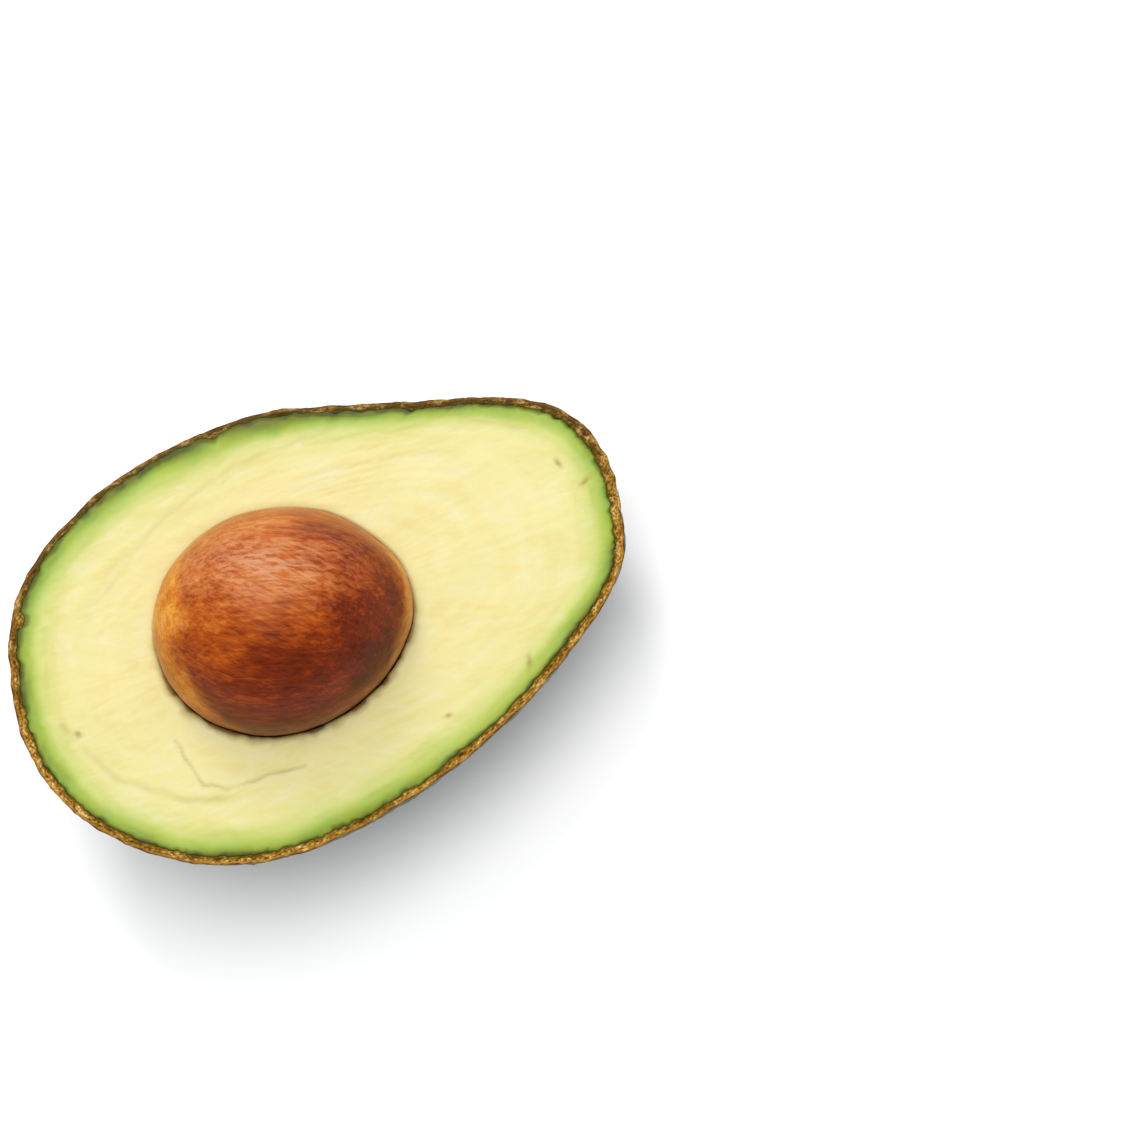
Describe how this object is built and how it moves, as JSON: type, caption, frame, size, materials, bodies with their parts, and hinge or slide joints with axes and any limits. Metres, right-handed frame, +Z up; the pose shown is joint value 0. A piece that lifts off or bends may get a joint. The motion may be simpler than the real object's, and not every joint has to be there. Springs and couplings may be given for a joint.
{
  "type": "avocado half",
  "caption": "Half avocado cut lengthwise, seed left in its hollow, lying cut face up on a small flat spot of its round back.",
  "frame": {"origin": "centre of the flat spot on the round back, where the half rests on a surface", "axes": "+Z up out of the resting surface, +X along the fruit's length towards the stem end, +Y to the raised edge of the cut face"},
  "size_m": [0.1076, 0.0704, 0.0542],
  "materials": {
    "peel": "satin",
    "flesh": "satin",
    "seed": "satin",
    "stem_button": "matte"
  },
  "bodies": {
    "root": {"peel": "peel", "flesh": "flesh", "seed": "seed", "stem_button": "stem_button"}
  },
  "joints": []
}
